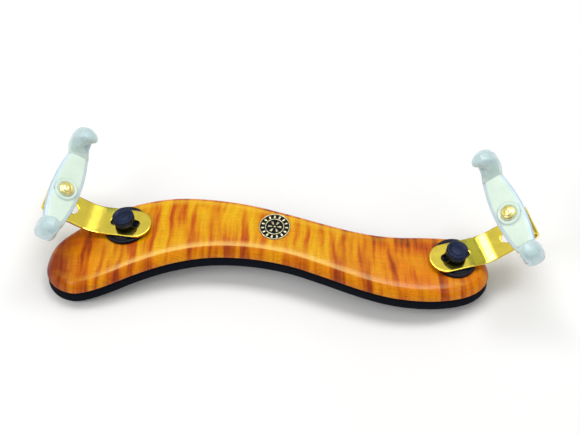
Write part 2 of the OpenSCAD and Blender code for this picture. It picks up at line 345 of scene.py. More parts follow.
def plug(tree, socket, value):
    if isinstance(value, bpy.types.NodeSocket):
        tree.links.new(value, socket)
    else:
        socket.default_value = value


def add_node(tree, kind, inputs=None, **settings):
    node = tree.nodes.new(kind)
    for key, value in settings.items():
        setattr(node, key, value)
    for key, value in (inputs or {}).items():
        plug(tree, node.inputs[key], value)
    return node


def map_range(tree, value, over, onto, kind="SMOOTHSTEP"):
    """Carries value from the span over to the span onto."""
    inputs = {0: value, 1: over[0], 2: over[1], 3: onto[0], 4: onto[1]}
    return add_node(tree, "ShaderNodeMapRange", inputs, interpolation_type=kind).outputs[0]


class Material:
    def __init__(self, name):
        self.data = bpy.data.materials.new(name)
        self.data.use_nodes = True
        self.tree = self.data.node_tree

    def new(self, kind, inputs=None, **settings):
        return add_node(self.tree, kind, inputs, **settings)

    def finish(self, **inputs):
        """Sets the shader's inputs, with _ for each space, and returns the material."""
        shader = self.tree.nodes["Principled BSDF"]
        for key, value in inputs.items():
            plug(self.tree, shader.inputs[key.replace("_", " ")], value)
        return self.data

    def mm(self):
        """Object coordinates in mm."""
        place = self.new("ShaderNodeTexCoord").outputs["Object"]
        inputs = {0: place, "Scale": 1 / MM}
        return self.new("ShaderNodeVectorMath", inputs, operation="SCALE").outputs[0]

    def xyz(self, vector):
        return tuple(self.new("ShaderNodeSeparateXYZ", {0: vector}).outputs)

    def vec(self, x, y, z):
        return self.new("ShaderNodeCombineXYZ", {0: x, 1: y, 2: z}).outputs[0]

    def math(self, operation, a, b, c=0.0, clamp=False):
        return self.new("ShaderNodeMath", {0: a, 1: b, 2: c},
                        operation=operation, use_clamp=clamp).outputs[0]

    def add(self, a, b):
        return self.math("ADD", a, b)

    def mul(self, a, b, clamp=False):
        return self.math("MULTIPLY", a, b, clamp=clamp)

    def noise(self, vector, scale=1.0, detail=2.0, rough=0.5):
        inputs = {"Vector": vector, "Scale": scale, "Detail": detail, "Roughness": rough}
        return self.new("ShaderNodeTexNoise", inputs).outputs[0]

    def grain(self, x, y, per_mm, depth=0.0, detail=2.0, rough=0.5):
        """Noise stretched by its cells per mm along x and y, cut at a depth."""
        place = self.vec(self.mul(x, per_mm[0]), self.mul(y, per_mm[1]), depth)
        return self.noise(place, detail=detail, rough=rough)

    def ramp(self, factor, stops):
        node = self.new("ShaderNodeValToRGB", {0: factor})
        elements = node.color_ramp.elements
        while len(elements) < len(stops):
            elements.new(0.5)
        for element, (position, color) in zip(elements, stops):
            element.position = position
            element.color = (*color[:3], 1)
        return node.outputs[0]

    def mix(self, factor, first, second, blend="MIX"):
        inputs = {"Factor": factor, 6: first, 7: second}
        return self.new("ShaderNodeMix", inputs, data_type="RGBA", blend_type=blend).outputs[2]

    def fade(self, value, over, onto=(0.0, 1.0), kind="SMOOTHSTEP"):
        return map_range(self.tree, value, over, onto, kind)

    def attr(self, name):
        return self.new("ShaderNodeAttribute", attribute_name=name).outputs["Fac"]

    def bump(self, height, strength, depth):
        inputs = {"Strength": strength, "Distance": depth, "Height": height}
        return self.new("ShaderNodeBump", inputs).outputs[0]


# ---------------------------------------------------------------- materials
def flamed_maple():
    mat = Material("flamed_maple")
    x, y, _ = mat.xyz(mat.mm())
    rim = mat.attr("rim")
    # the flames cross the plate and lean more towards +x
    lean = mat.mul(y, mat.fade(x, over=(-20.0, 70.0), onto=(0.02, 0.22)))
    warp = mat.grain(x, y, per_mm=(0.03, 0.07))
    bent = mat.add(mat.add(x, lean), mat.mul(mat.math("SUBTRACT", warp, 0.5), 3.0))
    broad = mat.grain(bent, y, per_mm=(0.20, 0.028), depth=3.0, detail=1.5)
    narrow = mat.grain(bent, y, per_mm=(0.46, 0.05), depth=9.0, detail=1.5)
    cloud = mat.grain(x, y, per_mm=(0.045, 0.08), depth=14.0)
    flame = mat.add(mat.mul(mat.fade(broad, over=(0.34, 0.62)), 0.56),
                    mat.mul(mat.fade(narrow, over=(0.30, 0.68)), 0.32))
    flame = mat.add(flame, mat.mul(mat.fade(cloud, over=(0.3, 0.7)), 0.14))
    amber = mat.ramp(flame, [
        (0.0, srgb(180, 68, 5)), (0.22, srgb(196, 94, 4)), (0.44, srgb(212, 130, 4)),
        (0.68, srgb(222, 156, 6)), (1.0, srgb(232, 182, 22))])
    red = mat.ramp(flame, [
        (0.12, srgb(96, 28, 32)), (0.42, srgb(184, 68, 12)), (0.8, srgb(221, 110, 9))])
    # red stain at both ends and painted shade round the edge, both broken up in patches
    left = mat.fade(x, over=(-66.0, -119.0))
    right = mat.math("MAXIMUM", mat.fade(x, over=(86.0, 101.0), onto=(0.0, 0.85)),
                     mat.fade(x, over=(8.0, 58.0), onto=(0.0, 0.78)))
    patch = mat.grain(x, y, per_mm=(0.06, 0.1), depth=5.0, rough=0.6)
    # painted shade: the rounded edge turns darker and redder
    edge = mat.fade(rim, over=(4.2, 3.0), onto=(0.0, 0.6))
    stain_and_edge_shade = mat.math("MAXIMUM", mat.math("MAXIMUM", left, right), edge)
    stain_and_edge_shade = mat.mul(stain_and_edge_shade, mat.fade(patch, over=(0.25, 0.65), onto=(0.55, 1.0)), clamp=True)
    # painted highlight: a pale gold line inside the edge, where the crest catches the overhead
    # light
    painted_highlight = mat.mul(mat.fade(rim, over=(7.5, 4.2), onto=(0.0, 0.5)),
                   mat.fade(rim, over=(3.3, 3.8)))
    amber = mat.mix(painted_highlight, amber, srgb(240, 196, 60))
    color = mat.mix(stain_and_edge_shade, amber, red)
    # the tip of the left end is darker still
    dusk = mat.mul(mat.fade(x, over=(-96.0, -118.0), onto=(0.0, 0.85)),
                   mat.fade(patch, over=(0.3, 0.6), onto=(0.5, 1.0)))
    color = mat.mix(dusk, color, srgb(122, 40, 26))
    fibre = mat.grain(x, y, per_mm=(0.10, 2.4), depth=2.0, detail=3, rough=0.6)
    tint = mat.ramp(fibre, [(0.3, (0.82, 0.80, 0.76)), (0.7, (1.08, 1.07, 1.04))])
    color = mat.mix(1.0, color, tint, blend="MULTIPLY")
    speck = mat.grain(x, y, per_mm=(1.3, 2.6), depth=7.0, rough=0.7)
    tint = mat.ramp(speck, [(0.3, (0.80, 0.76, 0.7)), (0.68, (1.12, 1.12, 1.08))])
    color = mat.mix(1.0, color, tint, blend="MULTIPLY")
    return mat.finish(
        Base_Color=color, Roughness=0.42, Coat_Weight=0.33, Coat_Roughness=0.15, Coat_IOR=1.5,
        Specular_IOR_Level=0.02, Normal=mat.bump(fibre, strength=0.10, depth=0.00006))


def foam():
    mat = Material("closed_cell_foam")
    place = mat.mm()
    cells = mat.new("ShaderNodeTexVoronoi", {"Vector": place, "Scale": 2.6}).outputs[0]
    soft = mat.noise(place, scale=0.8, detail=3, rough=0.6)
    color = mat.ramp(mat.add(mat.mul(cells, 0.8), mat.mul(soft, 0.4)),
                     [(0.25, srgb(3, 6, 12)), (0.9, srgb(13, 18, 29))])
    return mat.finish(
        Base_Color=color, Roughness=0.95, Specular_IOR_Level=0.06, Sheen_Weight=0.02,
        Sheen_Roughness=0.5, Normal=mat.bump(cells, strength=0.5, depth=0.00018))


def brass(name, rough, tone):
    mat = Material(name)
    place = mat.mm()
    blot = mat.noise(place, scale=0.22, detail=3, rough=0.55)
    # fine marks drawn out along x
    stretch = zip(mat.xyz(place), (1.0, 7.0, 7.0))
    fine = mat.noise(mat.vec(*[mat.mul(axis, cells) for axis, cells in stretch]), rough=0.6)
    light = [min(255, level + gain) for level, gain in zip(tone, (18, 16, 10))]
    color = mat.ramp(blot, [(0.25, srgb(*tone)), (0.75, srgb(*light))])
    roughness = mat.add(mat.fade(fine, over=(0.3, 0.7), onto=(rough * 0.75, rough * 1.3)),
                        mat.fade(blot, over=(0.4, 0.8), onto=(0.0, 0.04)))
    return mat.finish(Base_Color=color, Metallic=1.0, Roughness=roughness,
                      Normal=mat.bump(fine, strength=0.035, depth=0.00005))


def zinc_steel():
    mat = Material("zinc_steel")
    place = mat.mm()
    cloud = mat.noise(place, scale=1.4, detail=3, rough=0.6)
    return mat.finish(
        Base_Color=mat.ramp(cloud, [(0.2, srgb(150, 152, 156)), (0.8, srgb(196, 198, 200))]),
        Metallic=1.0, Roughness=mat.fade(cloud, over=(0.3, 0.7), onto=(0.22, 0.36)),
        Normal=mat.bump(mat.noise(place, scale=6), strength=0.08, depth=0.00005))


def satin_black(name, tone, rough):
    mat = Material(name)
    place = mat.mm()
    fine = mat.noise(place, scale=3.2, detail=3, rough=0.6)
    cloud = mat.noise(place, scale=0.35)
    dark, light = (srgb(*[int(level * gain) for level in tone]) for gain in (0.7, 1.5))
    return mat.finish(
        Base_Color=mat.ramp(cloud, [(0.25, dark), (0.8, light)]),
        Roughness=mat.fade(fine, over=(0.3, 0.7), onto=(rough - 0.07, rough + 0.1)),
        Specular_IOR_Level=0.2, Normal=mat.bump(fine, strength=0.14, depth=0.00008))


def milky_plastic():
    mat = Material("milky_plastic")
    place = mat.mm()
    rim = mat.attr("rim")
    cloud = mat.noise(place, scale=0.16, detail=3, rough=0.55)
    mint = mat.ramp(cloud, [(0.25, srgb(206, 224, 209)), (0.75, srgb(217, 232, 219))])
    edge_shade_blue = mat.ramp(cloud, [(0.25, srgb(190, 211, 220)), (0.75, srgb(204, 223, 230))])
    # painted shade: the mint faces turn a darker blue towards the edge
    edge = mat.fade(rim, over=(0.7, 0.1), onto=(0.0, 0.7))
    edge_shade_blue = mat.mix(edge, edge_shade_blue, srgb(168, 190, 208))
    color = mat.mix(mat.fade(rim, over=(1.1, 2.2)), edge_shade_blue, mint)
    # painted shade: the boss's ring walls turn a darker grey-green
    color = mat.mix(mat.mul(mat.attr("painted_wall_shade"), 0.55), color, srgb(176, 200, 200))
    return mat.finish(
        Base_Color=color,
        Roughness=mat.fade(mat.noise(place, scale=1.6), over=(0.3, 0.7), onto=(0.28, 0.38)),
        Subsurface_Weight=0.55, Subsurface_Radius=(1.0, 1.05, 1.0), Subsurface_Scale=0.0022,
        Coat_Weight=0.25, Coat_Roughness=0.12,
        Normal=mat.bump(mat.noise(place, scale=1.1), strength=0.05, depth=0.0001))


def soft_silicone():
    mat = Material("soft_silicone")
    place = mat.mm()
    cloud = mat.noise(place, scale=0.25, detail=3, rough=0.6)
    # painted shade: the hooks turn darker and bluer towards their outline, where they face away
    # from the view
    facing = mat.new("ShaderNodeLayerWeight", {"Blend": 0.35}).outputs["Facing"]
    core = mat.ramp(cloud, [(0.25, srgb(182, 205, 208)), (0.75, srgb(200, 221, 221))])
    color = mat.mix(mat.fade(facing, over=(0.25, 0.95)), core, srgb(168, 190, 206))
    # the root takes on the bar's mint
    root = mat.fade(mat.attr("along"), over=(0.0, 0.34), onto=(0.8, 0.0))
    color = mat.mix(root, color, srgb(205, 226, 216))
    return mat.finish(
        Base_Color=color, Roughness=mat.fade(cloud, over=(0.3, 0.7), onto=(0.26, 0.36)),
        Subsurface_Weight=0.6, Subsurface_Radius=(0.95, 1.0, 1.1), Subsurface_Scale=0.0030,
        Transmission_Weight=0.12, IOR=1.42, Coat_Weight=0.3, Coat_Roughness=0.15,
        Normal=mat.bump(mat.noise(place, scale=0.9), strength=0.06, depth=0.0002))


def antiqued_metal():
    """Pale gold on the raised parts, black in the hollows."""
    mat = Material("antiqued_medallion")
    place = mat.mm()
    high = mat.attr("high")
    cloud = mat.noise(place, scale=2.2, detail=3, rough=0.6)
    worn = mat.math("MULTIPLY_ADD", mat.math("SUBTRACT", cloud, 0.5), 0.25, high)
    metal = mat.fade(worn, over=(0.36, 0.56))
    gold = mat.ramp(cloud, [(0.25, srgb(176, 168, 124)), (0.75, srgb(246, 242, 206))])
    return mat.finish(
        Base_Color=mat.mix(metal, srgb(5, 7, 13), gold), Metallic=metal,
        Roughness=mat.fade(metal, over=(0.0, 1.0), onto=(0.55, 0.32), kind="LINEAR"),
        Specular_IOR_Level=0.12, Normal=mat.bump(cloud, strength=0.12, depth=0.0001))


def pale_floor():
    mat = Material("pale_floor")
    cloud = mat.noise(mat.mm(), scale=0.01)
    color = mat.ramp(cloud, [(0.3, (0.86, 0.86, 0.86)), (0.7, (0.89, 0.89, 0.885))])
    return mat.finish(Base_Color=color, Roughness=0.7, Specular_IOR_Level=0.1)


MAPLE = flamed_maple()
FOAM = foam()
BRASS = brass("polished_brass", rough=0.11, tone=(227, 206, 78))
STEEL = zinc_steel()
BRASS_HEAD = brass("turned_brass", rough=0.36, tone=(244, 228, 156))
BLACK = satin_black("satin_black", tone=(11, 24, 50), rough=0.36)
BLACK_SEAT = satin_black("satin_black_seat", tone=(9, 14, 26), rough=0.32)
MILKY = milky_plastic()
SILICONE = soft_silicone()
ANTIQUED = antiqued_metal()


def finish(obj, material, body, node):
    """Gives a built piece its material and moving body, and hides the CAD node it stands for."""
    obj.data.materials.append(material)
    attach(obj, body)
    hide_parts(node)


def keep(node, material):
    """A CAD node that stays as it is, in a new material."""
    obj = NODE[node]
    if not obj.material_slots:
        obj.data.materials.append(material)
    for slot in obj.material_slots:
        slot.material = material


# ---------------------------------------------------------------- local frames
# x of both frames points from the clamp out to the fork; RISE is the angle between their z
SEAT, FORK, RISE = {}, {}, {}
for side, _ in SIDES:
    clamp, turn = JOINT[f"{side}_bracket_swivel"], JOINT[f"{side}_fork_turn"]
    outward = Vector(turn["pos_m"]) - Vector(clamp["pos_m"])
    SEAT[side] = axes(clamp["pos_m"], clamp["axis"], outward)
    FORK[side] = axes(turn["pos_m"], turn["axis"], outward)
    RISE[side] = Vector(clamp["axis"]).angle(Vector(turn["axis"]))
medal_low, medal_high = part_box("medallion")
MEDAL_X = (medal_low.x + medal_high.x) / 2 / MM
MEDAL_Y = (medal_low.y + medal_high.y) / 2 / MM

# ---------------------------------------------------------------- plate
ROUND_D = 3.6                       # inset where the rounded edge ends and the crown starts
CROWN_D, CROWN_H = 10.5, 0.5        # inset where the crown is full, and its height
# (inset, z) up the rounded edge, from the underside
PLATE_EDGE = [
    (0.5, 0.0), (0.22, 0.07), (0.06, 0.22), (0.0, 0.45), (0.0, 0.9), (0.04, 1.25),
    (0.16, 1.65), (0.36, 2.1), (0.62, 2.6), (0.92, 3.1), (1.26, 3.6), (1.66, 4.1),
    (2.08, 4.52), (2.5, 4.88), (2.95, 5.2), (3.3, 5.39), (3.48, 5.46),
    (ROUND_D, PLATE_T - CROWN_H)]
CROWN_INSETS = (3.9, 4.4, 5.0, 5.7, 6.4)
STEP_W = 0.03                       # width of a recess's wall


def crown(inset):
    """Fall of the top face towards its edge."""
    return -CROWN_H * np.clip(1 - (inset - ROUND_D) / (CROWN_D - ROUND_D), 0, 1) ** 2.6


def build_plate():
    loop = relax(resample(outline("maple_body"), 520), 6)
    profile = PLATE_EDGE + [(inset, PLATE_T + float(crown(inset))) for inset in CROWN_INSETS]
    spots = [[c / MM for c in SEAT[side].translation[:2]] for side, _ in SIDES]
    # round recesses in the top face: x, y, radius, depth
    recesses = [(MEDAL_X, MEDAL_Y, 7.8, 0.4)]
    recesses += [(*spot, 11.2, 0.3) for spot in spots]
    recesses += [(*spot, 3.5, 5.05) for spot in spots]
    marks = []
    for mid_x, mid_y, radius, _ in recesses:
        count = 96 if radius > 5 else 48
        marks += [circle(mid_x, mid_y, edge, count) for edge in (radius, radius - STEP_W)]

    def height(x, y):
        drop = np.zeros(len(x))
        for mid_x, mid_y, radius, depth in recesses:
            drop -= np.where(np.hypot(x - mid_x, y - mid_y) < radius - STEP_W / 2, depth, 0.0)
        return drop + crown(nearest(np.c_[x, y], loop)) - crown(CROWN_INSETS[-1])

    def place(x, y, z):
        radius = ARCH_R - PLATE_T + z
        return np.c_[x, y, np.sqrt(radius * radius - x * x) - ARCH_R] * MM

    plate = slab("maple_plate", [loop], profile, place, (1.6, 1.6), marks, height, sharp=50)
    finish(plate, MAPLE, "rest_body", "maple_body")


# ---------------------------------------------------------------- pad
# (inset, z) from the underside to the top
PAD_EDGE = [
    (0.9, 0.0), (0.5, 0.1), (0.2, 0.34), (0.06, 0.7), (0.0, 1.2), (0.0, 2.4), (0.0, 3.6),
    (0.02, 4.8), (0.12, 5.8), (0.34, 6.5), (0.7, 6.95), (1.3, PAD_T)]
PAD_GROW = 1.35                     # the pad spreads this far past the CAD outline


def build_pad():
    loop = inward(relax(resample(outline("foam_pad"), 420), 6), -PAD_GROW)
    points = np.array([vert.co for vert in NODE["foam_pad"].data.vertices]) / MM
    # the underside is cut by the plane through the CAD pad's lowest point at each end
    left, right = (end[np.argmin(end[:, 2])]
                   for end in (points[points[:, 0] < 0], points[points[:, 0] > 60]))
    slope = (right[2] - left[2]) / (right[0] - left[0])

    def place(x, y, z):
        radius = ARCH_R - PLATE_T - PAD_GAP - PAD_T + z
        level = np.sqrt(radius * radius - x * x) - ARCH_R
        plane = left[2] + slope * (x - left[0])
        # a trace of thickness keeps the cut layers apart
        level = np.where(level < plane, plane + 0.04 * (z / PAD_T), level)
        level = np.maximum(level, CAD_BOX[0][2] / MM + 0.002)
        return np.c_[x, y, level] * MM

    pad = slab("shoulder_pad", [loop], PAD_EDGE, place, (3.0, 3.0), sharp=60)
    finish(pad, FOAM, "rest_body", "foam_pad")


# ---------------------------------------------------------------- brackets
# Along the strip: a flat foot, a bend upwards, a leg, a fold back inwards and a lip.
FLAT_L, LEG_L, LIP_L = 11.0, 19.2, 9.6
BEND_R, FOLD_R = 16.0, 2.4          # inner radii
STRIP_HALF_W, CORNER_R = 8.0, 1.0
FOOT_PITCH, FOOT_HOLE_R = 5.4, 2.1  # three holes in the foot
SLOT_START, SLOT_END, SLOT_R = 11.8, 3.4, 2.8  # end centres, back from the leg's end
LIP_HOLE_X, LIP_HOLE_R = 3.4, 3.2   # centre, on from the fold's end
# (inset, z) round the strip's edge
STRIP_EDGE = [
    (0.2, 0.0), (0.1, 0.03), (0.03, 0.1), (0.0, 0.2), (0.0, STRIP_T - 0.22),
    (0.03, STRIP_T - 0.1), (0.1, STRIP_T - 0.03), (0.22, STRIP_T)]


def strip_outline(end):
    """The unfolded strip: round at the foot, square with small corners at the lip."""
    foot = np.linspace(math.pi / 2, 1.5 * math.pi, 49)
    corner = np.linspace(-math.pi / 2, 0, 7)
    edge = np.linspace(end - CORNER_R - 0.4, -5.0, 140)
    near, far = -STRIP_HALF_W + CORNER_R, STRIP_HALF_W - CORNER_R
    return turned(np.vstack([
        np.c_[-FOOT_PITCH + STRIP_HALF_W * np.cos(foot), STRIP_HALF_W * np.sin(foot)],
        np.c_[edge[::-1], np.full(140, -STRIP_HALF_W)],
        np.c_[end - CORNER_R + CORNER_R * np.cos(corner), near + CORNER_R * np.sin(corner)],
        # this corner's points run from the long edge to the end
        np.c_[end - CORNER_R + CORNER_R * np.sin(corner + math.pi / 2),
              far + CORNER_R * np.cos(corner + math.pi / 2)],
        np.c_[edge, np.full(140, STRIP_HALF_W)],
    ]))


def build_bracket(side):
    rise = RISE[side]
    outer_r = BEND_R + STRIP_T
    bend_mid, fold_mid = BEND_R + STRIP_T / 2, FOLD_R + STRIP_T / 2
    bend_end = FLAT_L + bend_mid * rise
    leg_end = bend_end + LEG_L
    fold_end = leg_end + fold_mid * math.pi
    cos_rise, sin_rise = math.cos(rise), math.sin(rise)

    def place(x, y, z):
        bend = np.clip((x - FLAT_L) / bend_mid, 0, rise)
        out = np.where(x < FLAT_L, x, FLAT_L + (outer_r - z) * np.sin(bend))
        level = np.where(x < FLAT_L, z, outer_r - (outer_r - z) * np.cos(bend))
        # beyond the bend, in the rising leg's own frame
        fold = np.clip((x - leg_end) / fold_mid, 0, math.pi)
        fold_r = FOLD_R + STRIP_T - z
        leg_x = (np.clip(x - bend_end, 0, LEG_L) + fold_r * np.sin(fold)
                 - np.clip(x - fold_end, 0, None))
        leg_z = -BEND_R + FOLD_R - fold_r * np.cos(fold)
        past = x > bend_end
        out = np.where(past, FLAT_L + leg_x * cos_rise - leg_z * sin_rise, out)
        level = np.where(past, outer_r + leg_x * sin_rise + leg_z * cos_rise, level)
        return through(SEAT[side], np.c_[out, y, level + SEAT_H])

    holes = [circle(i * FOOT_PITCH, 0, FOOT_HOLE_R, 40) for i in (-1, 0, 1)]
    holes.append(stadium(leg_end - SLOT_START, leg_end - SLOT_END, SLOT_R, 24))
    holes.append(circle(fold_end + LIP_HOLE_X, 0, LIP_HOLE_R, 48))
    loops = [strip_outline(fold_end + LIP_L)] + [turned(hole, ccw=False) for hole in holes]
    strip = slab(f"{side}_brass_bracket", loops, STRIP_EDGE, place, (0.5, 1.0), sharp=35)
    finish(strip, BRASS, f"{side}_bracket_body", f"{side}_bracket")


# ---------------------------------------------------------------- seats and wheels
# (radius, z) round the seat ring
SEAT_RING = [
    (2.25, -0.22), (10.9, -0.22), (11.08, -0.1), (11.1, 0.5), (11.1, 1.25), (11.0, 1.5),
    (10.75, 1.68), (10.4, 1.75), (10.0, 1.75), (9.7, 1.66), (9.45, 1.5), (9.1, 1.44),
    (8.7, 1.48), (8.4, 1.62), (8.1, 1.8), (7.7, 1.9), (7.2, 1.93), (2.6, 1.93),
    (2.4, 1.88), (2.25, 1.72)]
COLLAR_H, WHEEL_H = 1.6, 4.0
TEETH, TOOTH_D = 28, 0.42
WHEEL_FOOT = SEAT_H + STRIP_T + HEAD_GAP
COLLAR_Z = WHEEL_FOOT + COLLAR_H
WHEEL_Z = COLLAR_Z + WHEEL_H
# (radius, z) from the bottom of the bore, down it, and round the outside to the top
WHEEL = [(0.0, WHEEL_Z - 0.9), (2.04, WHEEL_Z - 0.9)]
WHEEL += [(radius, WHEEL_FOOT + z) for radius, z in (
    (2.04, 0.0), (3.35, 0.0), (3.6, 0.1), (3.65, 0.35))]
WHEEL += [(radius, COLLAR_Z + z) for radius, z in (
    (3.65, -0.25), (3.8, -0.06), (4.1, 0.0), (4.95, 0.02), (5.25, 0.12), (5.4, 0.34),
    (5.45, 0.62), (5.45, 1.4))]
WHEEL += [(radius, WHEEL_Z + z) for radius, z in (
    (5.45, -1.4), (5.45, -0.75), (5.38, -0.42), (5.2, -0.18), (4.9, -0.05), (4.5, 0.0),
    (4.1, -0.02), (3.8, -0.12), (3.6, -0.3), (3.35, -0.42), (3.0, -0.44), (2.2, -0.33),
    (1.2, -0.25), (0.0, -0.22))]


def knurl(angle, radius, z):
    if radius < 4.85:
        return 1.0
    depth = TOOTH_D * min(1.0, max(0.0, (radius - 4.7) / 0.6))
    return 1 - depth / radius * (0.5 - 0.5 * np.cos(TEETH * angle)) ** 1.3


def build_seat(side):
    ring = lathe(f"{side}_seat_disc", SEAT_RING, SEAT[side], 128)
    finish(ring, BLACK_SEAT, "rest_body", f"{side}_seat")


def build_wheel(side):
    wheel = lathe(f"{side}_knurled_wheel", WHEEL, SEAT[side], TEETH * 12, wave=knurl)
    finish(wheel, BLACK, f"{side}_wheel_body", f"{side}_thumb_wheel")


# ---------------------------------------------------------------- fork screws
SHANK_R, SHANK_L = 2.46, 18.0
THREAD_TOP, THREAD_PITCH, THREAD_D = -0.6, 0.8, 0.36
FADE_L = 0.8                        # the thread dies out over this length at its top
LEAD_L, LEAD_D = 0.7, 0.55          # taper at the point
HEAD_Z = BAR_T + 1.0 + HEAD_GAP     # underside of the head
DOME_H, DOME_R = 1.8, 6.0
# (radius, depth below the dome) from the head's edge over a turned ring to the centre dimple
DOME = [
    (3.78, 0.06), (3.6, 0), (3.2, 0), (2.75, 0), (2.62, 0.03), (2.5, 0.2), (2.3, 0.22),
    (2.16, 0.06), (2.0, 0), (1.6, 0), (1.2, 0), (0.98, 0.03), (0.88, 0.16), (0.8, 0.4),
    (0.6, 0.5), (0.0, 0.52)]


def thread(angle, radius, z):
    if not -SHANK_L < z < THREAD_TOP:
        return 1.0
    phase = (z / THREAD_PITCH - angle / (2 * math.pi)) % 1.0
    cut = np.clip(np.abs(phase - 0.5) * 2 * 1.35 - 0.2, 0, 1)
    fade = min(1.0, (THREAD_TOP - z) / FADE_L)
    lead = max(0.0, 1 - (z + SHANK_L) / LEAD_L) * LEAD_D
    return 1 - (THREAD_D * cut * fade + lead) / SHANK_R


def build_screw(side):
    rows = [(0.0, -SHANK_L), (1.75, -SHANK_L)]
    rows += [(SHANK_R, float(z)) for z in np.arange(-SHANK_L + 0.05, THREAD_TOP, 0.1)]
    rows += [(2.4, -0.5), (SHANK_R, -0.4), (SHANK_R, HEAD_Z - 0.02),
             (3.6, HEAD_Z), (3.76, HEAD_Z + 0.05), (3.8, HEAD_Z + 0.2)]
    rows += [(radius, HEAD_Z + DOME_H - DOME_R + math.sqrt(DOME_R ** 2 - radius ** 2) - drop)
             for radius, drop in DOME]
    screw = lathe(f"{side}_domed_screw", rows, FORK[side], 64, wave=thread, sharp=42)
    finish(screw, BRASS_HEAD, f"{side}_screw_body", f"{side}_fork_screw")


# ---------------------------------------------------------------- fork bars
BAR_W, BAR_END_W = 15.4, 9.8        # widths at the middle and at the ends
BULGE_R = (BAR_L ** 2 + ((BAR_W - BAR_END_W) / 2) ** 2) / (BAR_W - BAR_END_W)
# (inset, z) round the bar's edge, from the underside
BAR_EDGE = [
    (0.9, 0.0), (0.45, 0.07), (0.14, 0.28), (0.0, 0.7), (0.0, 2.35), (0.06, 2.75),
    (0.24, 3.1), (0.55, 3.36), (1.0, 3.52), (1.25, 3.56), (1.38, 3.6), (1.46, 3.72),
    (1.54, 3.86), (1.68, 3.96), (1.9, BAR_T)]
# (radius, height over the bar's top) of the ringed boss round the screw
BOSS = [
    (0, 0.98), (3.7, 0.98), (3.95, 0.98), (4.25, 0.6), (4.6, 0.86), (5.0, 0.99),
    (5.45, 0.96), (5.7, 0.8), (5.95, 0.2), (6.2, -0.06), (20, 0.0)]
BOSS_MARKS = (3.7, 3.95, 4.25, 4.6, 5.45, 5.7, 5.95)
# (radius, painted shade) of the boss's walls
BOSS_PAINTED_SHADE = [
    (3.7, 0.3), (4.0, 0.9), (4.3, 0.8), (4.6, 0.1), (5.35, 0.15), (5.7, 1.0), (6.05, 0.7),
    (6.5, 0.0)]


def bar_top(x, y):
    radius = np.hypot(x, y)
    ridge = 0.10 * np.cos(np.clip(x / 6.0, -1, 1) * math.pi / 2)
    return np.interp(radius, *zip(*BOSS)) + ridge * np.clip((radius - 5.9) / 3, 0, 1)


def build_bar(side, sign):
    y = np.linspace(-BAR_L, BAR_L, 121)
    half = np.sqrt(BULGE_R ** 2 - y ** 2) - (BULGE_R - BAR_W / 2)
    loop = np.vstack([np.c_[half, y], np.c_[-half[::-1], y[::-1]]]) + [0, sign * BAR_SHIFT]
    loop = turned(resample(loop, 300))
    marks = [circle(0, 0, radius, 72) for radius in BOSS_MARKS]
    bar = slab(f"{side}_fork_arm", [loop], BAR_EDGE,
               lambda x, y, z: through(FORK[side], np.c_[x, y, z]),
               (0.55, 0.55), marks, bar_top, sharp=50)
    to_fork = FORK[side].inverted()
    radius = [math.hypot(*(to_fork @ vert.co)[:2]) for vert in bar.data.vertices]
    # how much painted shade each vertex gets from its radius round the screw
    add_attribute(bar.data, "painted_wall_shade", np.interp(np.array(radius) / MM, *zip(*BOSS_PAINTED_SHADE)))
    finish(bar, MILKY, f"{side}_fork_body", f"{side}_fork_bar")


# ---------------------------------------------------------------- soft hooks
# Sections (x, z) in the fork's frame, station for station: the full hook, the sleeve that
# grows out of the bar's end, and the closed free end.
HOOK = [
    (-3.4, 3), (-3.6, 4.8), (-2.4, 6.2), (0, 6.5), (1.2, 7.6), (1, 9.5), (-0.8, 10.3),
    (-3.1, 10.2), (-5, 11), (-3.4, 13.1), (0.8, 14.2), (4.6, 12.6), (6.6, 9.4), (7.2, 5.4),
    (6.7, 1.8), (4.2, 0.3), (0, 0.4), (-2.6, 1.5)]
SLEEVE = [
    (-5.42, 2.0), (-5.3, 3.1), (-4.6, 3.85), (-3.4, 4.1), (-2.2, 4.2), (-1.1, 4.24),
    (0, 4.24), (0.9, 4.24), (1.8, 4.22), (2.7, 4.18), (3.6, 4.06), (4.6, 3.84), (5.3, 3.1),
    (5.42, 2.0), (5.3, 0.8), (4.6, 0.0), (0, -0.08), (-4.6, 0.0)]
CAP = [
    (-3.5, 3.4), (-3.8, 4.9), (-3.8, 6.1), (-3.7, 7.2), (-3.6, 8.2), (-3.6, 9.2),
    (-3.5, 10.2), (-3.3, 11.2), (-2.8, 12.4), (-1.4, 13.5), (1.0, 14.0), (4.6, 12.5),
    (6.6, 9.4), (7.2, 5.4), (6.7, 1.8), (4.2, 0.3), (0, 0.4), (-2.6, 1.5)]
LIP = slice(7, 10)                  # stations of the hook's lip
NEAR_LIP = [(-2.5, 10.3), (-3.3, 11.5), (-2.2, 13.2)]  # the near hooks' shorter lip
LATE = slice(3, 10)                 # stations that move over later than they rise
HOOK_MID = np.array([1.9, 6.6])     # the free end shrinks towards this point
HOOK_L, OVERLAP = 11.5, 1.6         # past the bar's end, and back over it
HOOK_STEPS = 40


def ease(value, start, end):
    part = min(1.0, max(0.0, (value - start) / (end - start)))
    return part * part * (3 - 2 * part)


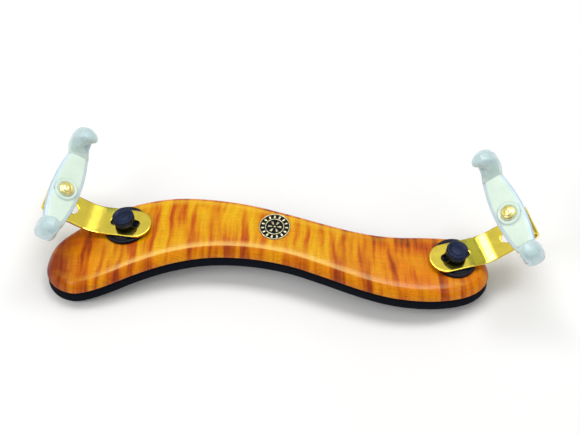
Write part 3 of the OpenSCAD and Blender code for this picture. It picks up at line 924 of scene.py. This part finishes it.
def build_hook(side, sign, way):
    """The hook on the bar's +y end (way 1) or -y end (way -1)."""
    end = "far" if way * sign > 0 else "near"
    hook, sleeve, cap = (np.array(section, float) for section in (HOOK, SLEEVE, CAP))
    if end == "near":
        hook[LIP] = NEAR_LIP
    late = np.zeros(len(hook))
    late[LATE] = 1.0
    sections, levels, along = [], [], []
    for i in range(HOOK_STEPS + 1):
        part = 0.5 - 0.5 * math.cos(math.pi * i / HOOK_STEPS)
        # the height grows first, and the lip leans inwards a little later
        rise, over = ease(part, 0.0, 0.42), ease(part, 0.12, 0.54)
        shut = ease(part, 0.62, 0.95)
        grow = np.c_[rise + (over - rise) * late, np.full(len(hook), rise)]
        loop = turned(catmull(sleeve + (hook + (cap - hook) * shut - sleeve) * grow, 8))
        far = max(0.0, (part - 0.6) / 0.4)
        shrink = (1 - math.sqrt(max(0.0, 1 - far ** 2.4))) * 0.82
        sections.append(HOOK_MID + (loop - HOOK_MID) * (1 - shrink))
        levels.append((BAR_L - OVERLAP + (HOOK_L + OVERLAP) * part) * way + sign * BAR_SHIFT)
        along += [part] * len(loop)
    count = len(loop)
    rows = [range(i * count, (i + 1) * count) for i in range(HOOK_STEPS + 1)]
    verts = [(x, y, z) for section, y in zip(sections, levels) for x, z in section]
    faces = skin(rows)
    if way < 0:
        faces = [(face[0], *face[:0:-1]) for face in faces]
    for row, value in ((0, 0.0), (-1, 1.0)):
        points, tris = fill([sections[row]], [], 1.2, 1.2)
        extra = points[count:]
        index = np.array([*rows[row], *range(len(verts), len(verts) + len(extra))])
        verts += [(x, levels[row], z) for x, z in extra]
        along += [value] * len(extra)
        # fill() is counter-clockwise in (x, z), which faces -y
        outwards = (row == 0) == (way > 0)
        faces += [tuple(tri if outwards else tri[::-1]) for tri in index[tris].tolist()]
    obj = mesh_object(f"{side}_{end}_soft_hook", through(FORK[side], verts), faces, 80,
                      {"along": along})
    finish(obj, SILICONE, f"{side}_fork_body", f"{side}_{end}_tip")


# ---------------------------------------------------------------- medallion
MEDAL_COUNT = 240
MEDAL_BASE, RELIEF_H = 0.12, 0.36   # z of the ground, and the relief's height over it
# (radius, z) from the underside up the side
MEDAL_EDGE = [(7.55, -0.33), (7.66, -0.3), (7.7, -0.2), (7.7, 0.22)]
# radii of the top face, from the edge in; the centre is one vertex
MEDAL_RADII = [7.68, 7.64, 7.58, 7.5, *np.linspace(0, 7.4, 68)[:0:-1]]


def relief(radius, angle):
    """Height 0 to 1 of the rosette: two rims, a ring of blocks, and six petals."""
    def bump(middle, width):
        return np.exp(-((radius - middle) / width) ** 4)
    rims = np.maximum(bump(7.42, 0.26), 0.95 * bump(4.5, 0.24))
    blocks = bump(5.95, 0.90) * np.clip(np.cos(15 * angle) * 2.4 - 0.5, 0, 1)
    petal = (np.clip(1.5 - np.abs(radius - 2.3) / 1.05, 0, 1)
             * np.clip(np.cos(6 * angle) * 2.0 - 0.4, 0, 1))
    turn = np.mod(angle * 6 / (2 * math.pi) + 0.5, 1) - 0.5
    vein = 1 - 0.5 * np.exp(-(turn / 0.05) ** 2)
    core = np.clip(1.5 - radius / 0.5, 0, 1)
    return np.maximum.reduce([rims, 0.9 * blocks, 0.95 * petal * vein * (radius < 3.9), core])


def build_medallion():
    lean = math.asin(MEDAL_X / ARCH_R)
    level = math.sqrt(ARCH_R ** 2 - MEDAL_X ** 2) - ARCH_R
    matrix = axes((MEDAL_X * MM, MEDAL_Y * MM, level * MM),
                  (math.sin(lean), 0, math.cos(lean)), (1, 0, 0))
    angle = np.linspace(0, 2 * math.pi, MEDAL_COUNT, endpoint=False)
    rings = [(radius, np.full(MEDAL_COUNT, z), np.full(MEDAL_COUNT, 0.6))
             for radius, z in MEDAL_EDGE]
    for radius in MEDAL_RADII:
        raised = relief(np.full(MEDAL_COUNT, radius), angle)
        fall = 0.0 if radius < 7.45 else (radius - 7.45) / 0.25 * 0.12
        high = raised if radius < 7.4 else np.full(MEDAL_COUNT, 0.8)
        rings.append((radius, MEDAL_BASE + RELIEF_H * raised - fall, high))
    verts = [(0, 0, -0.3)]
    for radius, z, _ in rings:
        verts += list(np.c_[radius * np.cos(angle), radius * np.sin(angle), z])
    verts.append((0, 0, MEDAL_BASE + RELIEF_H))
    rows = [range(1 + i * MEDAL_COUNT, 1 + (i + 1) * MEDAL_COUNT) for i in range(len(rings))]
    faces = skin([[0], *rows, [len(verts) - 1]])
    high = np.concatenate([[0.0], *(ring[2] for ring in rings), [1.0]])
    obj = mesh_object("rosette_medallion", through(matrix, verts), faces, 60, {"high": high})
    finish(obj, ANTIQUED, "rest_body", "medallion")


# ---------------------------------------------------------------- floor, world, lights, camera
TARGET = Vector((0, 0, -0.0039))    # metres, like everything in this section
AZIMUTH, ELEVATION = math.radians(7.0), math.radians(54.0)
CAMERA_DISTANCE = 1.0
VIEW_W = 0.28536                    # width of the view at the aim point
AIM_RIGHT, AIM_UP = 0.00034, 0.01119
SENSOR_W = 36.0                     # mm


def build_floor():
    z = CAD_BOX[0][2] - 0.0002
    mesh = bpy.data.meshes.new("floor")
    mesh.from_pydata([(-6, -6, z), (6, -6, z), (6, 8, z), (-6, 8, z)], [], [(0, 1, 2, 3)])
    floor = bpy.data.objects.new("floor", mesh)
    scene.collection.objects.link(floor)
    mesh.materials.append(pale_floor())


def build_world():
    world = bpy.data.worlds.new("studio")
    scene.world = world
    world.use_nodes = True
    tree = world.node_tree
    background = tree.nodes["Background"]

    def combine(operation, *values):
        inputs = dict(enumerate(values))
        return add_node(tree, "ShaderNodeMath", inputs, operation=operation).outputs[0]

    direction = add_node(tree, "ShaderNodeTexCoord").outputs["Generated"]
    x, y, z = add_node(tree, "ShaderNodeSeparateXYZ", {0: direction}).outputs
    # the light on matt surfaces: dimmer out to the sides, brighter near the horizon
    sides = map_range(tree, combine("ABSOLUTE", x), over=(0.26, 0.60), onto=(0.68, 0.38))
    low = map_range(tree, z, over=(0.05, 0.45), onto=(0.74, 0.0))
    matt = combine("MAXIMUM", sides, low)
    background.inputs["Color"].default_value = (1.0, 0.995, 0.985, 1)
    # what polished pieces mirror: brighter overhead in two steps, darker towards -y
    first = map_range(tree, z, over=(0.62, 0.75), onto=(0.42, 0.78))
    second = map_range(tree, z, over=(0.80, 0.85), onto=(0.0, 0.62))
    mirror = combine("ADD", first, second)
    behind = map_range(tree, y, over=(-0.15, 0.1), onto=(0.35, 1.0))
    mirror = combine("MULTIPLY", mirror, behind)
    glossy = add_node(tree, "ShaderNodeLightPath").outputs["Is Glossy Ray"]
    pick = add_node(tree, "ShaderNodeMix", {0: glossy, 2: matt, 3: mirror}, data_type="FLOAT")
    tree.links.new(pick.outputs[0], background.inputs["Strength"])


def area_light(name, toward, distance, size, watts):
    """A rectangular light in a direction from the target, facing it."""
    light = bpy.data.lights.new(name, "AREA")
    light.shape = "RECTANGLE"
    light.size, light.size_y = size
    light.energy = watts
    obj = bpy.data.objects.new(name, light)
    direction = Vector(toward).normalized()
    obj.location = TARGET + direction * distance
    obj.rotation_mode = "QUATERNION"
    obj.rotation_quaternion = direction.to_track_quat("Z", "Y")
    scene.collection.objects.link(obj)


def build_camera():
    """Looks down on the rest from -y, turned a little towards +x."""
    right = Vector((math.cos(AZIMUTH), math.sin(AZIMUTH), 0))
    back = Vector((math.sin(AZIMUTH) * math.cos(ELEVATION),
                   -math.cos(AZIMUTH) * math.cos(ELEVATION), math.sin(ELEVATION)))
    upward = back.cross(right)
    camera = bpy.data.cameras.new("camera")
    camera.sensor_fit = "HORIZONTAL"
    camera.sensor_width = SENSOR_W
    camera.lens = SENSOR_W * CAMERA_DISTANCE / VIEW_W
    camera.clip_start, camera.clip_end = 0.05, 20
    obj = bpy.data.objects.new("camera", camera)
    scene.collection.objects.link(obj)
    aim = TARGET + right * AIM_RIGHT + upward * AIM_UP
    obj.location = aim + back * CAMERA_DISTANCE
    obj.rotation_mode = "QUATERNION"
    obj.rotation_quaternion = Matrix((right, upward, back)).transposed().to_quaternion()
    scene.camera = obj


# ---------------------------------------------------------------- build
build_plate()
build_pad()
for side, _ in SIDES:
    build_bracket(side)
for side, _ in SIDES:
    build_seat(side)
    build_wheel(side)
    build_screw(side)
for side, sign in SIDES:
    build_bar(side, sign)
for side, sign in SIDES:
    for way in (1, -1):
        build_hook(side, sign, way)
build_medallion()
for side, _ in SIDES:
    keep(f"{side}_insert", BRASS)
    keep(f"{side}_clamp_screw", STEEL)
    keep(f"{side}_bush", BRASS)

build_floor()
build_world()
area_light("overhead_bank", toward=(0.0, 0.26, 0.966), distance=1.1, size=(0.95, 0.33), watts=6.8)
area_light("key_left", toward=(-0.75, -0.45, 0.75), distance=1.4, size=(0.6, 0.6), watts=4)
area_light("fill_right", toward=(0.8, -0.5, 0.6), distance=1.5, size=(0.7, 0.7), watts=2)
build_camera()
scene.view_settings.view_transform = "Standard"

bpy.context.view_layer.update()
